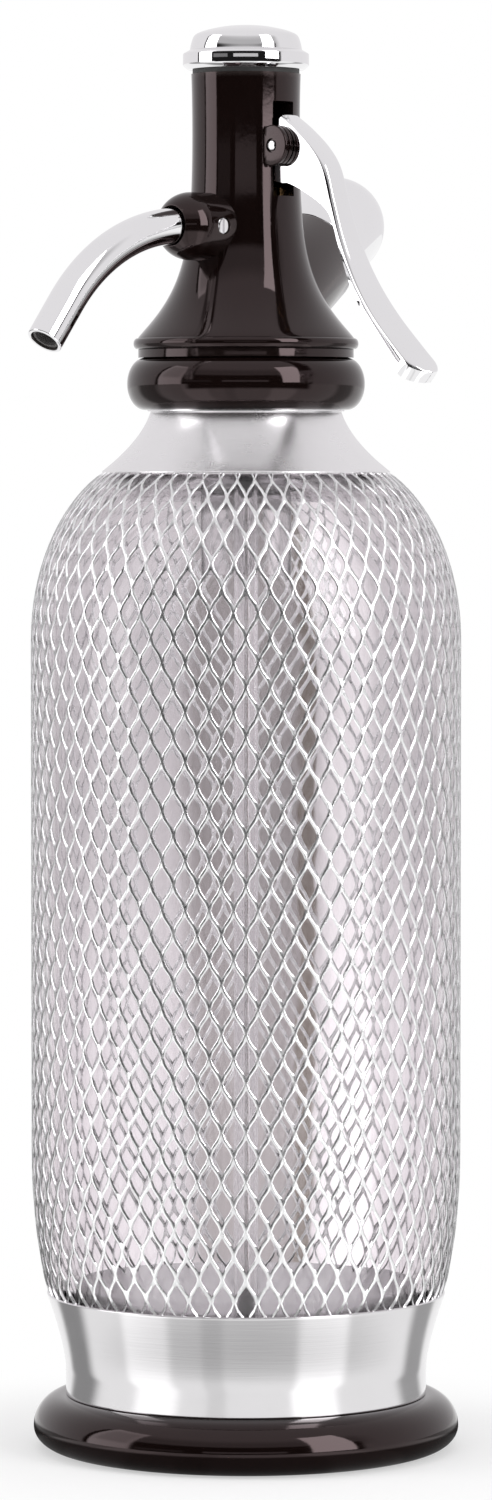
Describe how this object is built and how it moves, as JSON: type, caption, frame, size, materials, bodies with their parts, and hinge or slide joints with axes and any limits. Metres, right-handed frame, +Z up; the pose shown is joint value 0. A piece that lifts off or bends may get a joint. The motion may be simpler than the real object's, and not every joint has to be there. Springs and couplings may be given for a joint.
{
  "type": "soda siphon",
  "caption": "Mesh-covered glass soda siphon: black head with a curved nozzle, a squeeze lever, a screw cap and a sloping chrome charger holder.",
  "frame": {"origin": "middle of the base ring's lower face, on the table", "axes": "+Z up along the bottle's axis; the nozzle points to -X, the lever to -Y, and the charger holder slopes up towards +X, 23 degrees round to +Y"},
  "size_m": [0.1325, 0.1105, 0.334],
  "materials": {
    "black_plastic": "moulded, very dark brown-black, lightly polished",
    "chrome": "bright plated, polished",
    "collar_aluminium": "spun sheet, satin",
    "mesh_aluminium": "expanded and flattened net, bright",
    "clear_glass": "thick, smooth",
    "clear_plastic": "extruded, translucent",
    "white_plastic": "smooth",
    "rubber": "matt",
    "plain_steel": "satin",
    "brass": "turned"
  },
  "bodies": {
    "bottle": {"base_ring": "black_plastic", "bottle_cushion": "rubber", "base_collar": "collar_aluminium", "glass_bottle": "clear_glass", "mesh_sleeve": "mesh_aluminium", "shoulder_collar": "collar_aluminium", "neck_sleeve": "collar_aluminium", "measuring_tube": "clear_plastic"},
    "head": {"neck_ring": "black_plastic", "head_gasket": "rubber", "tube_holder": "clear_plastic", "siphon_tube": "clear_plastic", "head_body": "black_plastic", "gas_valve": "rubber", "piercing_pin": "plain_steel", "charger_seal": "rubber", "nozzle_seal": "rubber", "nozzle_tube": "chrome", "nozzle_liner": "white_plastic", "nozzle_screw": "chrome", "lever_pin": "chrome", "stem_guide": "brass", "stem_seal": "rubber", "valve_spring": "plain_steel", "cap_seal": "rubber"},
    "valve": {"valve_stem": "brass", "valve_seal": "rubber"},
    "lever": {"lever": "chrome"},
    "cap": {"cap": "chrome"},
    "charger_holder": {"charger_holder": "chrome", "gas_charger": "plain_steel"}
  },
  "joints": [
    {"name": "head_lift", "type": "slide", "parent": "bottle", "child": "head", "axis": [0, 0, 1], "range_m": [0, 0.245]},
    {"name": "lever_hinge", "type": "hinge", "parent": "head", "child": "lever", "pos_m": [0, -0.0139, 0.3048], "axis": [1, 0, 0], "range_deg": [0, 12], "stiffness_Nm_per_rad": 0.56, "springref_deg": -20.63},
    {"name": "valve_lift", "type": "slide", "parent": "head", "child": "valve", "axis": [0, 0, 1], "range_m": [0, 0.003], "deforming": ["valve_spring"]},
    {"name": "cap_lift", "type": "slide", "parent": "head", "child": "cap", "axis": [0, 0, 1], "range_m": [0, 0.02]},
    {"name": "holder_draw", "type": "slide", "parent": "head", "child": "charger_holder", "axis": [0.8409, 0.357, 0.4067], "range_m": [0, 0.04]}
  ],
  "couplings": [
    {"joint": "valve_lift", "follows": "lever_hinge", "m_per_rad": 0.0139}
  ]
}
